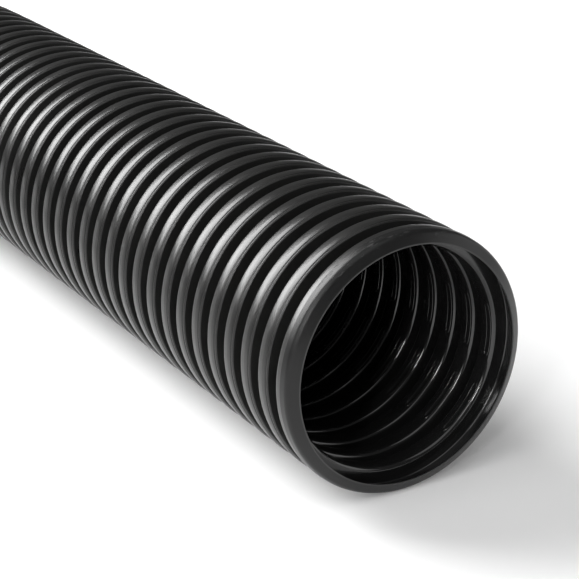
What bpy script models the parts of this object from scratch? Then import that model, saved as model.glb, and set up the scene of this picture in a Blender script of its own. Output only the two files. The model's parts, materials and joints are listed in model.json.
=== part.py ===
"""Pool vacuum hose: a ring-corrugated 38 mm hose with a plain cut end and a swivel cuff.

The free end lies straight along +X. Its last eighteen corrugations are modelled one by
one, so that they flex. The rest of the hose runs back, bends towards -Y and lies in a
round coil of two layers, and the swivel cuff lies on the coil.
Origin: the middle of the flexing stretch, on the floor. Metres, +Z up.
"""

import math

import bmesh
import bpy
from mathutils import Matrix, Vector

NAME = "vacuum_hose"

# The hose's section
BORE_RADIUS = 0.0190
WALL = 0.0006
CREST_RADIUS = 0.0225
PITCH = 0.0055
CREST_WIDTH = 0.0030
SHOULDER = 0.0005
CUT_REACH = 0.0012  # the cut edge stands this far in front of the end crest
CUT_RADIUS = 0.0203
GAP = 0.0004
SEGMENTS = 20
CONVOLUTIONS = 18

# How the hose lies: the route behind the flexing stretch, from crest 1's back edge
AXIS_HEIGHT = CREST_RADIUS
RUN_ROUTE = [
    (-0.0960, 0.0),
    (-0.1250, 0.0),
    (-0.1550, 0.0),
    (-0.1850, -0.0005),
    (-0.2150, -0.0040),
    (-0.2440, -0.0120),
    (-0.2710, -0.0245),
    (-0.2975, -0.0410),
    (-0.3230, -0.0590),
    (-0.3485, -0.0770),
    (-0.3740, -0.0950),
    (-0.3995, -0.1130),
    (-0.4250, -0.1310),
]
ROUTE_STEP = 0.04
KNOT_STEPS = 20  # fine steps between two points of the route
END_STRAIGHT = 0.004  # each end of a plain tube is straight for this length
TUBE_SIDES_RESOLUTION = 4

# The coil of what is left over, and the hose's end on top of it
HOSE_LENGTH = 3.0
LAYER_HEIGHT = 2 * CREST_RADIUS + 0.0006
COIL_TURNS = 2
COIL_SEGMENTS = 54
ARC_STEPS = 8  # on each half-round edge of the coil's outer shape
TAIL_LENGTH = 0.060
TAIL_STEPS = 6
CUFF_HEIGHT = 0.0701
CUFF_SPACE = 0.115
TOUCH_GAP = 0.0003

# The swivel cuff, measured along its own axis from the face that the hose meets
COLLAR_LENGTH = 0.022
COLLAR_RADIUS = 0.0240
COLLAR_EDGE = 0.0010
SEAT_START = 0.0074
SEAL_WIDTH = 0.0016
RING_WIDTH = 0.0012
NECK_RADIUS = 0.0205
NECK_BORE_RADIUS = 0.0175
NECK_LENGTH = 0.0100
NECK_GAP = 0.0006
CUFF_RADIUS = 0.0242
CUFF_LENGTH = 0.062
CUFF_STOP = 0.012  # how far in from the cuff's shoulder its socket ends
SOCKET_RADIUS = 0.0193
SOCKET_DRAFT = 0.0003
RIB_START = 0.006
RIB_HEIGHT = 0.0010
RIB_WIDTH = 0.0030
RIB_COUNT = 4
CUFF_SEGMENTS = 24

BLACK = (0.012, 0.012, 0.013, 1.0)
GREY = (0.030, 0.030, 0.032, 1.0)
DEEP_BLACK = (0.006, 0.006, 0.006, 1.0)


def new_collection(name):
    """A collection under the scene."""
    collection = bpy.data.collections.new(name)
    bpy.context.scene.collection.children.link(collection)
    return collection


def material(name, colour, roughness):
    """A plastic or rubber of one colour."""
    made = bpy.data.materials.new(name)
    made.use_nodes = True
    shader = made.node_tree.nodes["Principled BSDF"]
    shader.inputs["Base Color"].default_value = colour
    shader.inputs["Roughness"].default_value = roughness
    shader.inputs["Metallic"].default_value = 0.0
    return made


def add_mesh(collection, name, points, edges, faces, surface=None):
    """A mesh object in a collection."""
    mesh = bpy.data.meshes.new(name)
    mesh.from_pydata(points, edges, faces)
    made = bpy.data.objects.new(name, mesh)
    collection.objects.link(made)
    if surface:
        mesh.materials.append(surface)
    return made


def turned(collection, name, profile, segments, surface, axis="X"):
    """A closed profile of (along, radius) points turned round the X or Z axis."""
    if axis == "X":
        points = [(along, radius, 0.0) for along, radius in profile]
    else:
        points = [(radius, 0.0, along) for along, radius in profile]
    count = len(points)
    edges = [(n, (n + 1) % count) for n in range(count)]
    made = add_mesh(collection, name, points, edges, [], surface)
    screw = made.modifiers.new("turn", "SCREW")
    screw.axis = axis
    screw.steps = segments
    screw.render_steps = segments
    screw.use_merge_vertices = True
    screw.merge_threshold = 0.00001
    screw.use_smooth_shade = True
    return made


def tube(collection, name, points, radius, surface=None):
    """A plain capped tube along a line of points."""
    curve = bpy.data.curves.new(name, "CURVE")
    curve.dimensions = "3D"
    curve.bevel_depth = radius
    curve.bevel_resolution = TUBE_SIDES_RESOLUTION
    curve.use_fill_caps = True
    spline = curve.splines.new("POLY")
    spline.points.add(len(points) - 1)
    for place, point in zip(spline.points, points):
        place.co = (*point, 1.0)
    made = bpy.data.objects.new(name, curve)
    collection.objects.link(made)
    if surface:
        curve.materials.append(surface)
    return made


def as_mesh(made, collection):
    """The same object with its curve turned into a welded mesh."""
    bpy.context.view_layer.update()
    evaluated = made.evaluated_get(bpy.context.evaluated_depsgraph_get())
    mesh = bpy.data.meshes.new_from_object(evaluated)
    work = bmesh.new()
    work.from_mesh(mesh)
    bmesh.ops.remove_doubles(work, verts=work.verts, dist=0.00001)
    bmesh.ops.recalc_face_normals(work, faces=work.faces)
    work.to_mesh(mesh)
    work.free()
    name = made.name
    place = made.matrix_world.copy()
    bpy.data.objects.remove(made)
    result = bpy.data.objects.new(name, mesh)
    result.matrix_world = place
    collection.objects.link(result)
    return result


def cut(made, cutter):
    """Take a cutter's shape away from an object."""
    boolean = made.modifiers.new("cut " + cutter.name, "BOOLEAN")
    boolean.operation = "DIFFERENCE"
    boolean.solver = "EXACT"
    boolean.object = cutter
    cutter.hide_render = True
    cutter.display_type = "WIRE"


def empty(collection, name, matrix):
    """An empty that holds a pivot."""
    made = bpy.data.objects.new(name, None)
    made.empty_display_size = 0.01
    made.matrix_world = matrix
    collection.objects.link(made)
    return made


def attach(child, parent):
    """Parent an object and keep its place."""
    bpy.context.view_layer.update()
    place = child.matrix_world.copy()
    child.parent = parent
    child.matrix_parent_inverse = parent.matrix_world.inverted()
    child.matrix_world = place


def station(distance):
    """The frame at a distance back along the flexing stretch, with X along the hose."""
    return Matrix.Translation((-distance, 0, AXIS_HEIGHT))


def crest_distance(number):
    """How far back the middle of a crest is. Crest 1's back edge is at zero."""
    return (number - 1) * PITCH - CREST_WIDTH / 2


def valley_distance(number):
    """How far back the middle of the valley behind a crest is."""
    return (number - 1) * PITCH + (PITCH - CREST_WIDTH) / 2


def smooth_path(points, step):
    """Points at even steps along a smooth curve through a list of points."""
    before = points[0] * 2 - points[1]
    after = points[-1] * 2 - points[-2]
    knots = [before, *points, after]
    dense = []
    for a, b, c, d in zip(knots, knots[1:], knots[2:], knots[3:]):
        for fine in range(KNOT_STEPS):
            t = fine / KNOT_STEPS
            cubic = (3 * b - a - 3 * c + d) * t**3
            square = (2 * a - 5 * b + 4 * c - d) * t**2
            dense.append((2 * b + (c - a) * t + square + cubic) / 2)
    dense.append(points[-1])
    length = sum((q - p).length for p, q in zip(dense, dense[1:]))
    spacing = length / max(1, round(length / step))
    path = [dense[0]]
    gone = 0.0
    for p, q in zip(dense, dense[1:]):
        gone += (q - p).length
        if gone >= spacing * len(path) - 1e-9:
            path.append(q)
    path[-1] = dense[-1]
    return path, length


def smoothstep(value):
    """An eased ramp from 0 to 1."""
    value = min(max(value, 0.0), 1.0)
    return value * value * (3 - 2 * value)


def crest_profile(cut_end):
    """A raised ring, a channel open to the bore, with the cut edge in front of the end one."""
    back = -CREST_WIDTH / 2
    front = CREST_WIDTH / 2
    inside = CREST_RADIUS - WALL
    profile = [
        (back, BORE_RADIUS),
        (back + WALL, BORE_RADIUS),
        (back + WALL, inside),
        (front - WALL, inside),
    ]
    if cut_end:
        profile += [
            (front + CUT_REACH, CUT_RADIUS),
            (front + CUT_REACH, CUT_RADIUS + WALL),
        ]
    else:
        profile += [(front - WALL, BORE_RADIUS), (front, BORE_RADIUS)]
    profile += [
        (front, CREST_RADIUS - SHOULDER),
        (front - SHOULDER, CREST_RADIUS),
        (back + SHOULDER, CREST_RADIUS),
        (back, CREST_RADIUS - SHOULDER),
    ]
    return profile


def valley_profile():
    """The thin web between two raised rings."""
    half = (PITCH - CREST_WIDTH) / 2 - GAP
    return [
        (-half, BORE_RADIUS),
        (half, BORE_RADIUS),
        (half, BORE_RADIUS + WALL),
        (-half, BORE_RADIUS + WALL),
    ]


def build_free_end(parts, root, surfaces):
    """The flexing stretch, each raised ring hung from a pivot in the valley behind it."""
    parent = root
    for number in range(CONVOLUTIONS, 0, -1):
        pivot = empty(parts, f"pivot_{number:02d}", station(valley_distance(number)))
        attach(pivot, parent)
        rings = [
            (f"crest_{number:02d}", crest_distance(number), crest_profile(number == 1), "crest"),
            (f"valley_{number:02d}", valley_distance(number), valley_profile(), "valley"),
        ]
        for name, distance, profile, surface in rings:
            ring = turned(parts, name, profile, SEGMENTS, surfaces[surface])
            ring.matrix_world = station(distance)
            attach(ring, pivot)
        parent = pivot


def run_points():
    """The route behind the flexing stretch, its length and the direction it ends in."""
    route = [Vector((x, y, AXIS_HEIGHT)) for x, y in RUN_ROUTE]
    first = (route[1] - route[0]).normalized()
    last = (route[-1] - route[-2]).normalized()
    path, length = smooth_path(route, ROUTE_STEP)
    path.insert(1, path[0] + first * END_STRAIGHT)
    path.insert(-1, path[-1] - last * END_STRAIGHT)
    return path, length, last


def coil_numbers(run_end, run_length, heading):
    """The coil's radius, centre, first angle and whole turn, ending towards +Y."""
    inward = Vector((-heading.y, heading.x, 0))
    first_angle = math.atan2(-inward.y, -inward.x)
    whole_turn = COIL_TURNS * 2 * math.pi - first_angle
    spent = CONVOLUTIONS * PITCH - CREST_WIDTH + run_length
    radius = (HOSE_LENGTH - spent) / whole_turn
    return radius, run_end + inward * radius, first_angle, whole_turn


def coil_point(centre, radius, angle, height):
    """A point on the coil's middle line."""
    x = centre.x + radius * math.cos(angle)
    y = centre.y + radius * math.sin(angle)
    return Vector((x, y, height))


def coil_heading(angle):
    """The direction that the coiled hose runs in at an angle round the coil."""
    return Vector((-math.sin(angle), math.cos(angle), 0))


def coil_profile(radius):
    """The outer shape of two layers of hose, one on the other."""
    low = AXIS_HEIGHT
    high = AXIS_HEIGHT + LAYER_HEIGHT
    half = ARC_STEPS // 2
    arcs = [(high, math.pi / 2, half), (low, 0.0, ARC_STEPS), (high, math.pi, half - 1)]
    profile = []
    for height, first, steps in arcs:
        for n in range(steps + 1):
            angle = first - math.pi * n / ARC_STEPS
            z = height + CREST_RADIUS * math.sin(angle)
            profile.append((z, radius + CREST_RADIUS * math.cos(angle)))
    return profile


def wedge_cutter(cutters, centre, first_angle, last_angle, reach, bottom):
    """A wedge with its edge on the coil's axis, to open part of the coil's top layer."""
    curve = bpy.data.curves.new("notch_cutter", "CURVE")
    curve.dimensions = "2D"
    curve.fill_mode = "BOTH"
    curve.extrude = LAYER_HEIGHT
    spline = curve.splines.new("POLY")
    spline.points.add(2)
    spline.use_cyclic_u = True
    for place, angle in zip(spline.points[1:], (first_angle, last_angle)):
        place.co = (reach * math.cos(angle), reach * math.sin(angle), 0, 1)
    made = bpy.data.objects.new("notch_cutter", curve)
    made.location = (centre.x, centre.y, bottom + curve.extrude)
    cutters.objects.link(made)
    return as_mesh(made, cutters)


def build_coil(parts, cutters, root, surfaces):
    """The run, the coil with its opening for the run, and the tail on top."""
    path, run_length, heading = run_points()
    run = tube(parts, "hose_run", path, CREST_RADIUS, surfaces["run"])
    attach(run, root)

    numbers = coil_numbers(path[-1], run_length, heading)
    radius, centre, first_angle, whole_turn = numbers
    last_angle = first_angle + whole_turn
    tail_angle = last_angle - TAIL_LENGTH / radius
    open_angle = last_angle + CUFF_SPACE / radius
    coil = turned(parts, "hose_coil", coil_profile(radius), COIL_SEGMENTS, surfaces["run"], "Z")
    coil.location = (centre.x, centre.y, 0)
    groove_path = [*path[:-1], path[-1] + heading * TOUCH_GAP]
    groove = tube(cutters, "run_cutter", groove_path, CREST_RADIUS + GAP)
    cut(coil, as_mesh(groove, cutters))
    past_rim = 1.4 * radius
    first_layer_top = AXIS_HEIGHT + CREST_RADIUS + TOUCH_GAP
    notch = wedge_cutter(cutters, centre, tail_angle, open_angle, past_rim, first_layer_top)
    cut(coil, notch)
    attach(coil, root)

    top = AXIS_HEIGHT + LAYER_HEIGHT
    tail_path = []
    for n in range(TAIL_STEPS + 1):
        share = n / TAIL_STEPS
        angle = tail_angle + (last_angle - tail_angle) * share
        height = top + (CUFF_HEIGHT - top) * smoothstep(share)
        tail_path.append(coil_point(centre, radius, angle, height))
    leaving = coil_heading(tail_angle)
    tail_path[0] += leaving * TOUCH_GAP
    tail_path.insert(1, tail_path[0] + leaving * END_STRAIGHT)
    along = coil_heading(last_angle)
    tail_path.insert(-1, tail_path[-1] - along * END_STRAIGHT)
    tail = tube(parts, "hose_tail", tail_path, CREST_RADIUS, surfaces["run"])
    attach(tail, root)
    side = Vector((0, 0, 1)).cross(along)
    face = Matrix((along, side, Vector((0, 0, 1)))).transposed().to_4x4()
    face.translation = tail_path[-1] + along * TOUCH_GAP
    return face


def cuff_profile():
    """The hand cuff: ribs outside, a socket inside, and a neck that turns in the collar."""
    start = COLLAR_LENGTH + NECK_GAP
    end = start + CUFF_LENGTH
    neck_start = COLLAR_LENGTH - NECK_LENGTH
    low = CUFF_RADIUS - RIB_HEIGHT
    profile = [(neck_start, NECK_RADIUS), (start, NECK_RADIUS), (start, low)]
    for rib in range(RIB_COUNT):
        left = start + RIB_START + rib * 2 * RIB_WIDTH
        profile += [
            (left, low),
            (left + RIB_HEIGHT, CUFF_RADIUS),
            (left + RIB_WIDTH, CUFF_RADIUS),
            (left + RIB_WIDTH + RIB_HEIGHT, low),
        ]
    profile += [
        (end, low - RIB_HEIGHT),
        (end, SOCKET_RADIUS),
        (start + CUFF_STOP, SOCKET_RADIUS - SOCKET_DRAFT),
        (start + CUFF_STOP, NECK_BORE_RADIUS),
        (neck_start, NECK_BORE_RADIUS),
    ]
    return profile[::-1]


def collar_profile():
    """The collar that is fixed on the hose: a stop inside, then a wider seat for the neck."""
    seat_radius = NECK_RADIUS + NECK_GAP
    return [
        (0.0, BORE_RADIUS),
        (SEAT_START, BORE_RADIUS),
        (SEAT_START, seat_radius),
        (COLLAR_LENGTH, seat_radius),
        (COLLAR_LENGTH, COLLAR_RADIUS - COLLAR_EDGE),
        (COLLAR_LENGTH - COLLAR_EDGE, COLLAR_RADIUS),
        (COLLAR_EDGE, COLLAR_RADIUS),
        (0.0, COLLAR_RADIUS - COLLAR_EDGE),
    ]


def flat_ring_profile(start, width, inner_radius):
    """A plain ring that fills the collar's seat."""
    outer_radius = NECK_RADIUS + NECK_GAP - TOUCH_GAP
    return [
        (start, inner_radius),
        (start + width, inner_radius),
        (start + width, outer_radius),
        (start, outer_radius),
    ]


def build_cuff(parts, root, face, surfaces):
    """The collar on the hose, its two rings, and the cuff that turns on them."""
    seal_start = SEAT_START + TOUCH_GAP
    ring_start = seal_start + SEAL_WIDTH + TOUCH_GAP
    seal = flat_ring_profile(seal_start, SEAL_WIDTH, BORE_RADIUS)
    ring = flat_ring_profile(ring_start, RING_WIDTH, BORE_RADIUS)
    pivot = empty(parts, "swivel_pivot", face @ Matrix.Translation((COLLAR_LENGTH, 0, 0)))
    attach(pivot, root)
    pieces = [
        ("hose_collar", collar_profile(), "collar", root),
        ("seal_ring", seal, "seal", root),
        ("retaining_ring", ring, "snap", root),
        ("swivel_cuff", cuff_profile(), "cuff", pivot),
    ]
    for name, profile, surface, parent in pieces:
        made = turned(parts, name, profile, CUFF_SEGMENTS, surfaces[surface])
        made.matrix_world = face
        attach(made, parent)


def centre_on_free_end(root):
    """Move everything so that the flexing stretch's box stands on the origin."""
    bpy.context.view_layer.update()
    graph = bpy.context.evaluated_depsgraph_get()
    corners = []
    for made in bpy.data.objects:
        if made.name.startswith(("crest_", "valley_")):
            evaluated = made.evaluated_get(graph)
            place = evaluated.matrix_world
            corners += [place @ vertex.co for vertex in evaluated.data.vertices]
    low = [min(corner[n] for corner in corners) for n in range(3)]
    high = [max(corner[n] for corner in corners) for n in range(3)]
    root.location = (-(low[0] + high[0]) / 2, -(low[1] + high[1]) / 2, -low[2])
    bpy.context.view_layer.update()


def main():
    for made in list(bpy.data.objects):
        bpy.data.objects.remove(made)
    parts = new_collection(NAME)
    cutters = new_collection("cutters")
    surfaces = {
        "crest": material("crest_plastic", BLACK, 0.25),
        "valley": material("valley_plastic", DEEP_BLACK, 0.3),
        "run": material("hose_plastic", BLACK, 0.25),
        "collar": material("collar_plastic", GREY, 0.35),
        "cuff": material("cuff_plastic", GREY, 0.4),
        "seal": material("seal_rubber", DEEP_BLACK, 0.6),
        "snap": material("ring_plastic", GREY, 0.3),
    }
    root = empty(parts, "hose_root", Matrix.Identity(4))
    build_free_end(parts, root, surfaces)
    face = build_coil(parts, cutters, root, surfaces)
    build_cuff(parts, root, face, surfaces)
    for made in list(cutters.objects):
        attach(made, root)
    centre_on_free_end(root)


main()
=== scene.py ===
"""Looks of a pool vacuum hose: glossy black corrugated plastic on a white studio floor.

The free end has a plain cut mouth and is built one convolution at a time, one piece for
each. The rest runs back to a round coil with a swivel cuff on its end.
"""

import json
import math

import bmesh
import bpy
import numpy as np
from mathutils import Matrix, Vector


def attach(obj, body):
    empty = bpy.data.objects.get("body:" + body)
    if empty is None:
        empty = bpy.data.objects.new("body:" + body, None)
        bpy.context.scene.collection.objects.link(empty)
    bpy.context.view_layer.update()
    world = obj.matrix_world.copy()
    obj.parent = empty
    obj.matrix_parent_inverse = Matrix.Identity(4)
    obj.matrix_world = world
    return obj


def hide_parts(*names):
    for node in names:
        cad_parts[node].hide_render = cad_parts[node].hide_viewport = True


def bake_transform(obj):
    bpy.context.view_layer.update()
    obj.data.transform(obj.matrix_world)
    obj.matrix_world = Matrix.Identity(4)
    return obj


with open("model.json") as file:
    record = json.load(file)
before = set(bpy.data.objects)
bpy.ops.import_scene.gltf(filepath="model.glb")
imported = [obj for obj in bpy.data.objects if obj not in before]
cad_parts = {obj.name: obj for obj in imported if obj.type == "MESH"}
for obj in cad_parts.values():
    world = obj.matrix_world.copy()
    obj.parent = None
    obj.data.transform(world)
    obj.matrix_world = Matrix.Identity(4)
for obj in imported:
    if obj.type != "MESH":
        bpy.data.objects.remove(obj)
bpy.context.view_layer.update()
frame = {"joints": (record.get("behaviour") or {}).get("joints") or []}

# The hose's section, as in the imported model
BORE_RADIUS = 0.0190
WALL = 0.0006
CREST_RADIUS = 0.0225
PITCH = 0.0055
CREST_WIDTH = 0.0030
CUT_REACH = 0.0012
CUT_RADIUS = 0.0203
CONVOLUTIONS = 18
AXIS_HEIGHT = CREST_RADIUS

# How the hose lies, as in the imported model; the route is measured from crest 1's back edge
RUN_ROUTE = [
    (-0.0960, 0.0),
    (-0.1250, 0.0),
    (-0.1550, 0.0),
    (-0.1850, -0.0005),
    (-0.2150, -0.0040),
    (-0.2440, -0.0120),
    (-0.2710, -0.0245),
    (-0.2975, -0.0410),
    (-0.3230, -0.0590),
    (-0.3485, -0.0770),
    (-0.3740, -0.0950),
    (-0.3995, -0.1130),
    (-0.4250, -0.1310),
]
HOSE_LENGTH = 3.0
LAYER_HEIGHT = 2 * CREST_RADIUS + 0.0006
COIL_TURNS = 2
TAIL_LENGTH = 0.060
CUFF_HEIGHT = 0.0701
TOUCH_GAP = 0.0003
CLIMB_START = math.radians(265)
CLIMB_END = math.radians(347)

# The swivel cuff, along its own axis from the face that the hose meets
COLLAR_LENGTH = 0.022
COLLAR_RADIUS = 0.0240
SEAT_START = 0.0074
SEAL_WIDTH = 0.0016
RING_WIDTH = 0.0012
NECK_RADIUS = 0.0205
NECK_BORE_RADIUS = 0.0175
NECK_LENGTH = 0.0100
NECK_GAP = 0.0006
CUFF_RADIUS = 0.0242
CUFF_LENGTH = 0.062
CUFF_STOP = 0.012
SOCKET_RADIUS = 0.0193
RIB_START = 0.006
RIB_HEIGHT = 0.0010
RIB_WIDTH = 0.0030
RIB_COUNT = 4

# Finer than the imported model: the moulded shape of one convolution
CROWN = 0.00016  # how much lower a crest's edges are than its middle
BACK_SHOULDER = 0.00065
FRONT_SHOULDER = 0.00028
CREST_TURN = 0.0012  # the large rounding before a crest's back shoulder
SHOULDER_DROP = 0.00010  # how far the front shoulder is below the crown's edge
GROOVE_BACK = 0.00050  # how far the fine groove is behind a crest's front shoulder
GROOVE_DEPTH = 0.00014
GROOVE_ROUND = 0.00010
DRAFT = 0.00010
FOOT = 0.00030
RIDGE_ROUND = 0.00080

# The mouth
CUT_EDGE = 0.00020
CUT_ROUND = 0.00007
MOUTH_ROUND = 0.0012
LIP_DEPTH = 0.0005
LIP_RISE = 0.0002

# Short marks inside from the mould's vents
VENT_ANGLES = (math.radians(2), math.radians(-42))
VENT_LENGTH = 0.0075
VENT_WIDTH = 0.0010
VENT_START = 0.0034

# The coil's plainer convolutions
COIL_SHOULDER = 0.00040
COIL_SHOULDER_DROP = 0.00006
COIL_EDGE = 0.00002
COIL_EDGE_DROP = 0.00060
COIL_DRAFT = 0.00020
HOSE_END_BEVEL = 0.0004
SEAL_ROUND = 0.0006
RING_ROUND = 0.0002

# The camera, from the hose's end, and the studio
LENS = 113.64
CAMERA_PLACE = (0.22088, -0.15279, 0.11863)
CAMERA_FORWARD = (-0.7957, 0.4791, -0.3705)
FLOOR_SIZE = 12.0
FLOOR_GLOW = 0.10
FAR_GLOW = 0.9
GLOW_START = 0.7
GLOW_END = 1.7
SURROUNDINGS = 0.10

MILLIMETRES = 1000.0  # in a metre, for the materials
SHARP_ANGLE = math.radians(50)
NEARLY_STRAIGHT = math.radians(88)  # half the angle at a corner that needs no rounding
LONGEST_CUT = 0.48  # of the shorter side beside a corner, for its rounding
LINE_STEPS = 40
COIL_STEPS = 1400
SEGMENTS = 160
RUN_SEGMENTS = 96
COIL_SEGMENTS = 32
RUN_PITCHES = 66
FINE_PITCHES = 24  # of the run
LINED_PITCHES = 8  # the hose's last convolutions, whose inside shows through the cuff


# ---------------------------------------------------------------- the hose's middle line


def smoothstep(value):
    """An eased ramp from 0 to 1."""
    value = min(max(value, 0.0), 1.0)
    return value * value * (3 - 2 * value)


def smooth_line(points):
    """Fine points along a smooth curve through a list of points."""
    before = points[0] * 2 - points[1]
    after = points[-1] * 2 - points[-2]
    knots = [before, *points, after]
    fine = []
    for a, b, c, d in zip(knots, knots[1:], knots[2:], knots[3:]):
        for step in range(LINE_STEPS):
            t = step / LINE_STEPS
            cubic = (3 * b - a - 3 * c + d) * t**3
            square = (2 * a - 5 * b + 4 * c - d) * t**2
            fine.append((2 * b + (c - a) * t + square + cubic) / 2)
    fine.append(points[-1])
    return fine


def line_length(points):
    """The length of a line through points."""
    return sum((b - a).length for a, b in zip(points, points[1:]))


class HoseLine:
    """The hose's middle line. Distances run back from crest 1's back edge."""

    def __init__(self, end):
        flex_length = CONVOLUTIONS * PITCH - CREST_WIDTH
        first = -2 * CREST_WIDTH
        back = Vector((-1, 0, 0))
        straight = [end + back * first, end, end + back * flex_length / 2]
        route = [end + Vector((x, y, 0)) for x, y in RUN_ROUTE]
        heading = (route[-1] - route[-2]).normalized()
        run = smooth_line(route)
        run_length = line_length(run)

        inward = Vector((-heading.y, heading.x, 0))
        first_angle = math.atan2(-inward.y, -inward.x)
        whole_turn = COIL_TURNS * 2 * math.pi - first_angle
        radius = (HOSE_LENGTH - flex_length - run_length) / whole_turn
        centre = run[-1] + inward * radius
        tail_turn = TAIL_LENGTH / radius
        coil = []
        for n in range(1, COIL_STEPS + 1):
            turn = whole_turn * n / COIL_STEPS
            angle = first_angle + turn
            climb = smoothstep((turn - CLIMB_START) / (CLIMB_END - CLIMB_START))
            rise = smoothstep((turn - whole_turn + tail_turn) / tail_turn)
            height = LAYER_HEIGHT * climb
            height += (CUFF_HEIGHT - AXIS_HEIGHT - LAYER_HEIGHT) * rise
            sideways = Vector((math.cos(angle), math.sin(angle), 0)) * radius
            coil.append(centre + sideways + Vector((0, 0, height)))
        self.points = np.array([*straight, *run, *coil])
        steps = np.linalg.norm(np.diff(self.points, axis=0), axis=1)
        self.gone = np.concatenate([[0.0], np.cumsum(steps)]) + first
        self.ahead = -np.gradient(self.points, self.gone, axis=0)
        self.length = self.gone[-1]
        self.flex_length = flex_length

    def at(self, distances):
        """Points and forward directions at distances along the line."""
        columns = range(3)
        points = [np.interp(distances, self.gone, self.points[:, n]) for n in columns]
        ahead = [np.interp(distances, self.gone, self.ahead[:, n]) for n in columns]
        ahead = np.array(ahead).T
        return np.array(points).T, ahead / np.linalg.norm(ahead, axis=1)[:, None]

    def point(self, distance):
        """One point of the line."""
        return Vector(self.at([distance])[0][0])


end_pivot = next(j for j in frame["joints"] if j["child"] == "convolution_01")
HOSE_END = Vector(end_pivot["pos_m"]) + Vector(((PITCH - CREST_WIDTH) / 2, 0, 0))
LINE = HoseLine(HOSE_END)


# ------------------------------------------------------------------------- camera first


def place_camera():
    """A camera beside the mouth that looks back along the hose."""
    data = bpy.data.cameras.new("camera")
    data.sensor_width = 36.0
    data.lens = LENS
    data.clip_start = 0.01
    camera = bpy.data.objects.new("camera", data)
    forward = Vector(CAMERA_FORWARD).normalized()
    right = forward.cross(Vector((0, 0, 1))).normalized()
    up = right.cross(forward)
    turn = Matrix((right, up, -forward)).transposed().to_4x4()
    place = HOSE_END + Vector(CAMERA_PLACE)
    camera.matrix_world = Matrix.Translation(place) @ turn
    bpy.context.scene.collection.objects.link(camera)
    bpy.context.scene.camera = camera


place_camera()


# ---------------------------------------------------------------------------- materials


class Value:
    """A number that varies over a surface: an output socket that can be reckoned with."""

    def __init__(self, shader, socket):
        self.shader = shader
        self.socket = socket

    def math(self, operation, *others):
        """A Math node that works on this value and others."""
        sockets = dict(enumerate((self, *others)))
        return self.shader.node("ShaderNodeMath", {"operation": operation}, sockets)

    def __add__(self, other):
        return self.math("ADD", other)

    def __mul__(self, other):
        return self.math("MULTIPLY", other)

    def __sub__(self, other):
        return self.math("SUBTRACT", other)

    def __rsub__(self, other):
        return (self * -1) + other

    def __truediv__(self, other):
        return self.math("DIVIDE", other)

    def __rtruediv__(self, other):
        return self.shader.node("ShaderNodeMath", {"operation": "DIVIDE"}, {0: other, 1: self})

    __radd__ = __add__
    __rmul__ = __mul__

    def between(self, low, high):
        """0 at low, 1 at high, eased."""
        settings = {"interpolation_type": "SMOOTHSTEP"}
        sockets = {"Value": self, "From Min": low, "From Max": high}
        return self.shader.node("ShaderNodeMapRange", settings, sockets, "Result")

    def bump(self, centre, half_width):
        """1 at a centre, falling to 0 at half_width to either side."""
        away = (self - centre).math("ABSOLUTE")
        return 1 - away.between(0.0, half_width)


class Shader:
    """A material's nodes."""

    def __init__(self, name):
        self.material = bpy.data.materials.new(name)
        self.material.use_nodes = True
        self.tree = self.material.node_tree
        self.surface = self.tree.nodes["Principled BSDF"]

    def node(self, kind, settings, sockets, output=0):
        """A node of a kind, with its settings and sockets; gives one of its outputs."""
        made = self.tree.nodes.new(kind)
        for name, setting in settings.items():
            setattr(made, name, setting)
        for name, value in sockets.items():
            self.put(made.inputs[name], value)
        return Value(self, made.outputs[output])

    def put(self, socket, value):
        """Link a value to a socket, or set the socket to a plain number."""
        if isinstance(value, Value):
            self.tree.links.new(value.socket, socket)
        else:
            socket.default_value = value

    def finish(self, **sockets):
        """Fill the shader's sockets and give the material."""
        for name, value in sockets.items():
            self.put(self.surface.inputs[name.replace("_", " ")], value)
        return self.material

    def place(self, attribute=None):
        """A point on the surface in millimetres, in the object or in an attribute's frame."""
        if attribute:
            return self.node("ShaderNodeAttribute", {"attribute_name": attribute}, {}, "Vector")
        metres = self.node("ShaderNodeTexCoord", {}, {}, "Object")
        settings = {"operation": "SCALE"}
        sockets = {0: metres, "Scale": MILLIMETRES}
        return self.node("ShaderNodeVectorMath", settings, sockets)

    def stretched(self, place, scale):
        """A place with each coordinate scaled by its own number."""
        settings = {"operation": "MULTIPLY"}
        return self.node("ShaderNodeVectorMath", settings, {0: place, 1: scale})

    def noise(self, place, scale, detail=2.0, roughness=0.5):
        """A soft random pattern; scale is in waves for each millimetre."""
        sockets = {"Vector": place, "Scale": scale, "Detail": detail, "Roughness": roughness}
        return self.node("ShaderNodeTexNoise", {}, sockets, "Fac")

    def parts(self, place):
        """The three coordinates of a point."""
        first = self.node("ShaderNodeSeparateXYZ", {}, {0: place})
        return [Value(self, output) for output in first.socket.node.outputs]

    def colour(self, mask, low, high):
        """A colour from low to high as a mask goes from 0 to 1."""
        sockets = {0: mask, 6: (*low, 1.0), 7: (*high, 1.0)}
        return self.node("ShaderNodeMix", {"data_type": "RGBA"}, sockets, 2)

    def relief(self, height, distance, strength):
        """A bumped normal; distance is the height of 1 in metres."""
        sockets = {"Height": height, "Distance": distance, "Strength": strength}
        return self.node("ShaderNodeBump", {}, sockets, "Normal")


def hose_plastic():
    """Glossy black plastic with faint rings from the mould and a fine grain."""
    shader = Shader("black_hose_plastic")
    place = shader.place("hose_place")
    rings = shader.noise(shader.stretched(place, (6.0, 0.05, 0.05)), 1.0, 3.0, 0.6)
    grain = shader.noise(place, 5.0, 2.0)
    patches = shader.noise(place, 0.12, 3.0)
    return shader.finish(
        Base_Color=shader.colour(patches, (0.009, 0.009, 0.009), (0.016, 0.016, 0.015)),
        Roughness=rings * 0.10 + (patches - 0.5) * 0.12 + 0.26,
        IOR=1.5,
        Normal=shader.relief(grain * 0.6 + rings * 0.4, 0.00002, 0.5),
    )


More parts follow.
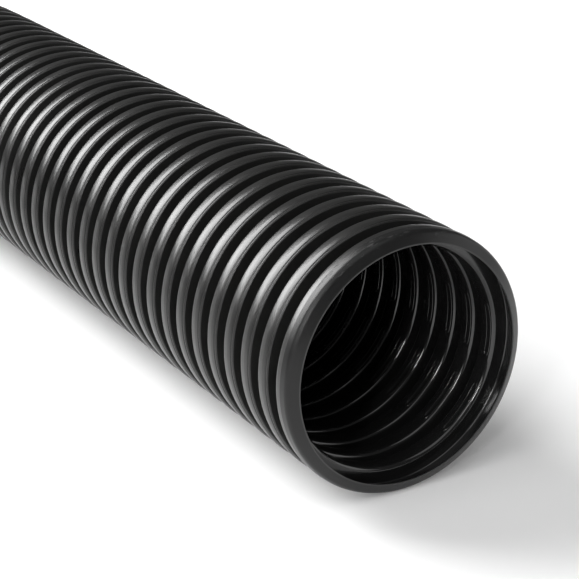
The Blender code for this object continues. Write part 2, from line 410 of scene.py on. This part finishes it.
def inside_plastic():
    """The smoother skin inside, with short capsule-shaped marks from the mould's vents."""
    shader = Shader("black_inside_plastic")
    place = shader.place("hose_place")
    along, across, up = shader.parts(place)
    rings = shader.noise(shader.stretched(place, (3.0, 0.08, 0.08)), 1.0, 2.0)
    flow = shader.noise(shader.stretched(place, (0.6, 0.25, 0.25)), 1.0, 3.0)
    pitch = PITCH * MILLIMETRES
    half_length = VENT_LENGTH * MILLIMETRES / 2
    half_width = VENT_WIDTH * MILLIMETRES / 2
    aside = ((along - VENT_START * MILLIMETRES) / pitch).math("FRACT") * pitch - pitch / 2
    vents = 0
    for angle in VENT_ANGLES:
        sideways = up * math.cos(angle) - across * math.sin(angle)
        reach = (sideways.math("ABSOLUTE") - half_length).math("MAXIMUM", 0.0)
        distance = (reach * reach * 0.25 + aside * aside).math("SQRT")
        front = (across * math.cos(angle) + up * math.sin(angle)).between(0.0, 1.0)
        vents = distance.bump(half_width, 0.13) * front + vents
    return shader.finish(
        Base_Color=shader.colour(flow, (0.007, 0.007, 0.007), (0.014, 0.014, 0.014)),
        Roughness=rings * 0.05 + flow * 0.05 + 0.07,
        IOR=1.6,
        Normal=shader.relief(vents + flow * 0.10, 0.00012, 0.9),
    )


def rim_plastic():
    """The hose's plastic on the mouth, with scuffs on the crest and a painted highlight: a paler
    colour along the cut edge.
    """
    shader = Shader("black_rim_plastic")
    place = shader.place("hose_place")
    along, across, up = shader.parts(place)
    rings = shader.noise(shader.stretched(place, (6.0, 0.05, 0.05)), 1.0, 3.0, 0.6)
    grain = shader.noise(place, 5.0, 2.0)
    streaks = shader.noise(shader.stretched(place, (2.6, 0.5, 0.9)), 1.0, 4.0, 0.7)
    radius = (across * across + up * up).math("SQRT")
    crest_radius = CREST_RADIUS * MILLIMETRES
    edge_radius = (CUT_RADIUS + CUT_EDGE) * MILLIMETRES
    on_crest = radius.between(crest_radius - 1.4, crest_radius - 0.3)
    near_top = up.between(12.0, 18.0) * (1 - across.between(9.0, 15.0))
    scuffs = streaks.between(0.56, 0.66) * on_crest * near_top
    # Painted highlight: the band along the cut edge is coloured paler, standing in for the light
    # that its rounded lip reflects
    edge = (edge_radius + 0.12 - radius).between(0.0, 0.08)
    at_front = (along + (CREST_WIDTH + CUT_REACH) * MILLIMETRES).math("ABSOLUTE")
    painted_edge_highlight = edge * (1 - at_front.between(0.05, 0.22))
    # The paler colour comes from real scuffs on the crest and from the painted highlight along
    # the cut edge
    scuffs_and_edge_highlight = scuffs * 0.7 + painted_edge_highlight
    return shader.finish(
        Base_Color=shader.colour(scuffs_and_edge_highlight, (0.010, 0.010, 0.010), (0.05, 0.05, 0.05)),
        Roughness=rings * 0.10 + scuffs_and_edge_highlight * 0.22 + 0.28,
        IOR=1.38,
        Normal=shader.relief(grain * 0.5 + rings * 0.4 + scuffs * 1.5, 0.00002, 0.6),
    )


def moulded_plastic(name, low, high, roughness, grain_size):
    """Satin moulded plastic with a fine spark texture."""
    shader = Shader(name)
    place = shader.place()
    grain = shader.noise(place, 1.0 / grain_size, 2.0)
    patches = shader.noise(place, 0.08, 3.0)
    return shader.finish(
        Base_Color=shader.colour(patches, low, high),
        Roughness=(patches - 0.5) * 0.12 + grain * 0.08 + roughness,
        IOR=1.5,
        Normal=shader.relief(grain, 0.00004, 0.6),
    )


HOSE = hose_plastic()
INSIDE = inside_plastic()
RIM = rim_plastic()
CUFF = moulded_plastic("satin_cuff_plastic", (0.022,) * 3, (0.034,) * 3, 0.34, 0.35)
RING = moulded_plastic("ring_plastic", (0.03,) * 3, (0.045,) * 3, 0.28, 0.5)
RUBBER = moulded_plastic("seal_rubber", (0.007,) * 3, (0.012,) * 3, 0.55, 0.3)


# ------------------------------------------------------------------------------- shapes


def rounded(corners, steps=5):
    """An outline through corners (along, radius, rounding), each rounded by an arc."""
    places = [Vector(corner[:2]) for corner in corners]
    outline = [places[0]]
    for before, here, after, corner in zip(places, places[1:], places[2:], corners[1:]):
        back = (before - here).normalized()
        ahead = (after - here).normalized()
        half = back.angle(ahead) / 2
        if corner[2] == 0 or half > NEARLY_STRAIGHT:
            outline.append(here)
            continue
        shorter_side = min((before - here).length, (after - here).length)
        reach = min(corner[2] / math.tan(half), LONGEST_CUT * shorter_side)
        radius = reach * math.tan(half)
        centre = here + (back + ahead).normalized() * (radius / math.sin(half))
        first = here + back * reach - centre
        last = here + ahead * reach - centre
        turn = first.angle(last)
        for n in range(steps + 1):
            t = n / steps
            arm = first * math.sin((1 - t) * turn) + last * math.sin(t * turn)
            outline.append(centre + arm / math.sin(turn))
    outline.append(places[-1])
    return [(p.x, p.y) for p in outline]


def ring_mesh(name, rings, segments, closed, place_of, material, inside_from=None):
    """A surface through rings, each (distance, radius); closed joins the last to the first.

    place_of gives middle points and directions at the rings' distances. The rings from
    inside_from on have the plastic of the hose's inside.
    """
    distances = np.array([ring[0] for ring in rings])
    radii = np.array([ring[1] for ring in rings])
    centres, ahead = place_of(distances)
    side = np.cross(np.array([0.0, 0.0, 1.0]), ahead)
    side /= np.linalg.norm(side, axis=1)[:, None]
    up = np.cross(ahead, side)
    angles = np.arange(segments) * 2 * math.pi / segments
    across = np.cos(angles)[None, :, None] * side[:, None, :]
    raised = np.sin(angles)[None, :, None] * up[:, None, :]
    points = centres[:, None, :] + (across + raised) * radii[:, None, None]
    count = len(rings)
    last = count if closed else count - 1
    a, b = np.meshgrid(np.arange(last), np.arange(segments), indexing="ij")
    c, d = (a + 1) % count, (b + 1) % segments
    faces = np.stack([a * segments + b, a * segments + d, c * segments + d, c * segments + b], -1)
    faces = faces.reshape(-1, 4).tolist()
    if not closed:
        faces.append(list(range(segments)))
        faces.append([(count - 1) * segments + n for n in range(segments)])
    mesh = bpy.data.meshes.new(name)
    mesh.from_pydata(points.reshape(-1, 3).tolist(), [], faces)
    work = bmesh.new()
    work.from_mesh(mesh)
    bmesh.ops.recalc_face_normals(work, faces=work.faces)
    work.to_mesh(mesh)
    work.free()
    hose_place = np.empty((count, segments, 3))
    hose_place[..., 0] = distances[:, None]
    hose_place[..., 1] = np.cos(angles)[None, :] * radii[:, None]
    hose_place[..., 2] = np.sin(angles)[None, :] * radii[:, None]
    attribute = mesh.attributes.new("hose_place", "FLOAT_VECTOR", "POINT")
    attribute.data.foreach_set("vector", (hose_place * MILLIMETRES).astype(np.float32).ravel())
    mesh.shade_smooth()
    mesh.set_sharp_from_angle(angle=SHARP_ANGLE)
    mesh.materials.append(material)
    if inside_from is not None:
        mesh.materials.append(INSIDE)
        for face in mesh.polygons:
            face.material_index = int(min(face.vertices) // segments >= inside_from)
    made = bpy.data.objects.new(name, mesh)
    bpy.context.scene.collection.objects.link(made)
    return made


def crown_points(back, front, steps=6):
    """A crest's top between two distances, slightly domed across its width."""
    middle = (back + front) / 2
    half = (back - front) / 2
    points = []
    for n in range(steps + 1):
        distance = back + (front - back) * n / steps
        drop = CROWN * ((distance - middle) / half) ** 2
        points.append((distance, CREST_RADIUS - drop, 0))
    return points


HALF_VALLEY = (PITCH - CREST_WIDTH) / 2
HALF_CREST = CREST_WIDTH / 2


def outer_corners(middle):
    """The outside from the crest behind a valley to the crest in front of it."""
    back_face = middle + HALF_VALLEY
    front_face = middle - HALF_VALLEY
    floor = BORE_RADIUS + WALL
    top_behind = crown_points(middle + PITCH / 2 + HALF_CREST, back_face)[3:]
    groove_top = CREST_RADIUS - CROWN * 0.5
    bead = back_face + GROOVE_BACK * 0.45
    behind = [point for point in top_behind if point[0] > back_face + GROOVE_BACK * 1.5]
    return [
        *behind,
        (back_face + GROOVE_BACK * 1.3, groove_top, GROOVE_ROUND),
        (back_face + GROOVE_BACK, groove_top - GROOVE_DEPTH, GROOVE_ROUND),
        (bead, groove_top - GROOVE_DEPTH * 0.35, GROOVE_ROUND),
        (back_face, CREST_RADIUS - CROWN - SHOULDER_DROP, FRONT_SHOULDER),
        (back_face - DRAFT, floor, FOOT),
        (front_face + DRAFT, floor, FOOT),
        (front_face, CREST_RADIUS - CROWN * 0.8, BACK_SHOULDER),
        (front_face - HALF_CREST * 0.55, CREST_RADIUS - CROWN * 0.2, CREST_TURN),
        (middle - PITCH / 2, CREST_RADIUS, 0),
    ]


def inner_corners(middle):
    """The inside from the crest in front of a valley back to the crest behind it."""
    ceiling = CREST_RADIUS - WALL
    back_face = middle + HALF_VALLEY + WALL
    front_face = middle - HALF_VALLEY - WALL
    return [
        (middle - PITCH / 2, ceiling, 0),
        (front_face, ceiling, FOOT),
        (front_face + DRAFT, BORE_RADIUS, RIDGE_ROUND),
        (back_face - DRAFT, BORE_RADIUS, RIDGE_ROUND),
        (back_face, ceiling, FOOT),
        (middle + PITCH / 2, ceiling, 0),
    ]


def valley_middle(number):
    """How far back the middle of the valley behind a crest is."""
    return (number - 1) * PITCH + HALF_VALLEY


def build_free_end():
    """One piece for each valley, from the middle of one crest to the middle of the next."""
    for number in range(1, CONVOLUTIONS + 1):
        middle = valley_middle(number)
        outer = rounded(outer_corners(middle))
        outline = outer + rounded(inner_corners(middle))
        name = f"convolution_{number:02d}_wall"
        piece = ring_mesh(name, outline, SEGMENTS, True, LINE.at, HOSE, len(outer))
        LINE.point(middle + HALF_VALLEY)
        LINE.point(middle - HALF_VALLEY)
        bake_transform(piece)
        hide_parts(f"crest_{number:02d}", f"valley_{number:02d}")


def build_mouth():
    """The front half of the end crest, with its face and the cut edge."""
    crest_middle = -HALF_CREST
    face = -CREST_WIDTH
    cut = face - CUT_REACH
    ceiling = CREST_RADIUS - WALL
    outside = rounded(
        [
            (crest_middle, CREST_RADIUS, 0),
            (face - 0.0002, CREST_RADIUS - CROWN * 0.6, MOUTH_ROUND),
            (cut, CUT_RADIUS + CUT_EDGE, CUT_ROUND),
            (cut, CUT_RADIUS, CUT_ROUND),
            (cut + LIP_DEPTH, CUT_RADIUS + LIP_RISE, 0),
        ],
        steps=8,
    )
    inside = rounded(
        [
            (cut + LIP_DEPTH * 1.2, CUT_RADIUS + LIP_RISE * 1.25, 0),
            (face + WALL, ceiling, FOOT),
            (crest_middle, ceiling, 0),
        ]
    )
    outline = outside + inside
    piece = ring_mesh("mouth_rim", outline, SEGMENTS, True, LINE.at, RIM, len(outside))
    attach(piece, "convolution_01")


def pitch_outline(first_middle, count, corners):
    """One outline through many convolutions, from the front one back."""
    outline = []
    for n in range(count):
        outline += corners(first_middle + n * PITCH)
    return outline


def reversed_outer(middle):
    """The outside of a convolution, from the front back, without the ring it shares."""
    return rounded(outer_corners(middle), steps=2)[::-1][:-1]


def plain_inner(middle):
    """Four rings inside for each convolution, where the inside isn't seen."""
    return [(along, radius) for along, radius, _ in inner_corners(middle)[1:-1]]


def coil_outer(middle):
    """Six rings outside for each convolution where it is seen from far away."""
    floor = BORE_RADIUS + WALL
    front_face = middle - HALF_VALLEY
    back_face = middle + HALF_VALLEY
    return [
        (front_face - COIL_SHOULDER, CREST_RADIUS - COIL_SHOULDER_DROP),
        (front_face - COIL_EDGE, CREST_RADIUS - COIL_EDGE_DROP),
        (front_face + COIL_DRAFT, floor),
        (back_face - COIL_DRAFT, floor),
        (back_face + COIL_EDGE, CREST_RADIUS - COIL_EDGE_DROP),
        (back_face + COIL_SHOULDER, CREST_RADIUS - COIL_SHOULDER_DROP),
    ]


def build_run():
    """The hose from the free end to the coil, hollow, built along the hose's middle line."""
    first = valley_middle(CONVOLUTIONS + 1)
    plain_first = first + FINE_PITCHES * PITCH
    outer = pitch_outline(first, FINE_PITCHES, reversed_outer)
    outer += pitch_outline(plain_first, RUN_PITCHES - FINE_PITCHES, coil_outer)
    inner = pitch_outline(first, RUN_PITCHES, plain_inner)
    outline = outer + inner[::-1]
    piece = ring_mesh("hose_run_wall", outline, RUN_SEGMENTS, True, LINE.at, HOSE)
    start = first - PITCH / 2
    end = start + RUN_PITCHES * PITCH
    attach(piece, "hose_body")
    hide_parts("hose_run")
    end - start
    return end


def build_coil(start):
    """The coil and the tail that ends in the collar; its last stretch is hollow."""
    end = LINE.length - TOUCH_GAP
    count = int((end - start) / PITCH)
    outline = [(start, CREST_RADIUS), *pitch_outline(start + PITCH / 2, count, coil_outer)]
    last_crest = start + count * PITCH
    outline += [
        (last_crest, CREST_RADIUS),
        (end - HOSE_END_BEVEL, CREST_RADIUS),
        (end, CREST_RADIUS - HOSE_END_BEVEL),
        (end, BORE_RADIUS),
    ]
    for n in range(LINED_PITCHES):
        middle = last_crest - PITCH / 2 - n * PITCH
        outline += rounded(inner_corners(middle), steps=2)[::-1][:-1]
    outline.append((middle - PITCH / 2, BORE_RADIUS / 2))
    piece = ring_mesh("hose_coil_wall", outline, COIL_SEGMENTS, False, LINE.at, HOSE)
    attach(piece, "hose_body")
    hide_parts("hose_coil", "hose_tail")
    end - start


# --------------------------------------------------------------------------------- cuff


CUFF_FACE = LINE.point(LINE.length) + Vector((0, TOUCH_GAP, 0))


def cuff_line(distances):
    """Points and directions along the cuff's axis, which runs along +Y."""
    count = len(distances)
    points = np.tile(np.array(CUFF_FACE), (count, 1))
    points[:, 1] += distances
    return points, np.tile(np.array([0.0, 1.0, 0.0]), (count, 1))


def build_collar():
    """The collar that holds the hose's end, with the seat for the rings and the neck."""
    seat_radius = NECK_RADIUS + NECK_GAP
    outline = rounded(
        [
            (0.004, BORE_RADIUS, 0),
            (0.0, BORE_RADIUS, 0.0002),
            (0.0, COLLAR_RADIUS, 0.0008),
            (COLLAR_LENGTH, COLLAR_RADIUS, 0.0008),
            (COLLAR_LENGTH, seat_radius, 0.0002),
            (SEAT_START, seat_radius, 0),
            (SEAT_START, BORE_RADIUS, 0),
        ]
    )
    piece = ring_mesh("cuff_collar", outline, SEGMENTS, True, cuff_line, CUFF)
    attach(piece, "hose_body")
    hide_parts("hose_collar")
    return piece


def build_flat_ring(name, node, start, width, material, rounding):
    """The seal or the snap ring in the collar's seat."""
    outer = NECK_RADIUS + NECK_GAP - TOUCH_GAP
    middle = (BORE_RADIUS + outer) / 2
    outline = rounded(
        [
            (start, middle, 0),
            (start, outer, rounding),
            (start + width, outer, rounding),
            (start + width, BORE_RADIUS, rounding),
            (start, BORE_RADIUS, rounding),
            (start, middle - 0.0001, 0),
        ]
    )
    piece = ring_mesh(name, outline, RUN_SEGMENTS, True, cuff_line, material)
    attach(piece, "hose_body")
    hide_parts(node)
    return piece


def build_cuff():
    """The hand cuff with its grip ribs and its socket."""
    start = COLLAR_LENGTH + NECK_GAP
    end = start + CUFF_LENGTH
    neck_start = COLLAR_LENGTH - NECK_LENGTH
    low = CUFF_RADIUS - RIB_HEIGHT
    corners = [
        (neck_start + 0.003, NECK_BORE_RADIUS, 0),
        (neck_start, NECK_BORE_RADIUS, 0.0004),
        (neck_start, NECK_RADIUS, 0.0003),
        (start, NECK_RADIUS, 0.0002),
        (start, low, 0.0008),
    ]
    for rib in range(RIB_COUNT):
        left = start + RIB_START + rib * 2 * RIB_WIDTH
        corners += [
            (left, low, 0.0004),
            (left + RIB_HEIGHT, CUFF_RADIUS, 0.0005),
            (left + RIB_WIDTH, CUFF_RADIUS, 0.0005),
            (left + RIB_WIDTH + RIB_HEIGHT, low, 0.0004),
        ]
    corners += [
        (end, low - RIB_HEIGHT, 0.0008),
        (end, SOCKET_RADIUS, 0.0006),
        (start + CUFF_STOP, SOCKET_RADIUS - 0.0003, 0.0002),
        (start + CUFF_STOP, NECK_BORE_RADIUS, 0.0004),
    ]
    piece = ring_mesh("cuff_body", rounded(corners), SEGMENTS, True, cuff_line, CUFF)
    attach(piece, "swivel")
    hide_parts("swivel_cuff")
    return piece


build_free_end()
build_mouth()
seal_start = SEAT_START + TOUCH_GAP
ring_start = seal_start + SEAL_WIDTH + TOUCH_GAP
fittings = [
    build_collar(),
    build_flat_ring(
        "cuff_seal", "seal_ring", seal_start, SEAL_WIDTH, RUBBER, SEAL_ROUND
    ),
    build_flat_ring(
        "cuff_snap_ring", "retaining_ring", ring_start, RING_WIDTH, RING, RING_ROUND
    ),
    build_cuff(),
]
build_coil(build_run())


# ------------------------------------------------------------------------ studio and light


def build_floor():
    """A white floor that glows more with distance, so that it stays white far away."""
    bpy.ops.mesh.primitive_plane_add(size=FLOOR_SIZE, location=(0, 0, 0))
    floor = bpy.context.object
    floor.name = "studio_floor"
    shader = Shader("white_floor")
    away = shader.node("ShaderNodeVectorMath", {"operation": "LENGTH"}, {0: shader.place()}, 1)
    far = (away / MILLIMETRES).between(GLOW_START, GLOW_END)
    paint = shader.finish(
        Base_Color=(0.9, 0.9, 0.9, 1.0),
        Roughness=0.9,
        Emission_Color=shader.colour(far, (FLOOR_GLOW,) * 3, (FAR_GLOW,) * 3),
        Emission_Strength=1.0,
    )
    floor.data.materials.append(paint)


def soft_light(name, place, width, height, power, target=(0, 0, 0.02)):
    """A rectangular white soft light at a place, pointed at a target."""
    data = bpy.data.lights.new(name, "AREA")
    data.shape = "RECTANGLE"
    data.size = width
    data.size_y = height
    data.energy = power
    light = bpy.data.objects.new(name, data)
    light.location = place
    light.rotation_euler = (Vector(target) - Vector(place)).to_track_quat("-Z", "Y").to_euler()
    bpy.context.scene.collection.objects.link(light)


def light_scene():
    """Dim grey surroundings and five soft lights."""
    world = bpy.data.worlds.new("studio")
    world.use_nodes = True
    background = world.node_tree.nodes["Background"]
    background.inputs["Color"].default_value = (*(SURROUNDINGS,) * 3, 1.0)
    background.inputs["Strength"].default_value = 1.0
    bpy.context.scene.world = world
    soft_light("overhead", (0.6, -0.3, 1.6), width=1.6, height=1.6, power=7.5, target=(0, 0, 0))
    soft_light("left", (0.25, -1.4, 0.95), width=1.2, height=1.2, power=13.0)
    soft_light("right", (0.48, 1.32, 0.42), width=1.4, height=0.6, power=3.2)
    soft_light("back_left", (-0.98, -0.56, 0.72), width=0.75, height=1.20, power=34.0)
    soft_light("sparkle", (0.96, -1.15, 0.64), width=0.08, height=0.40, power=5.0)


build_floor()
light_scene()
bpy.context.scene.view_settings.view_transform = "Standard"
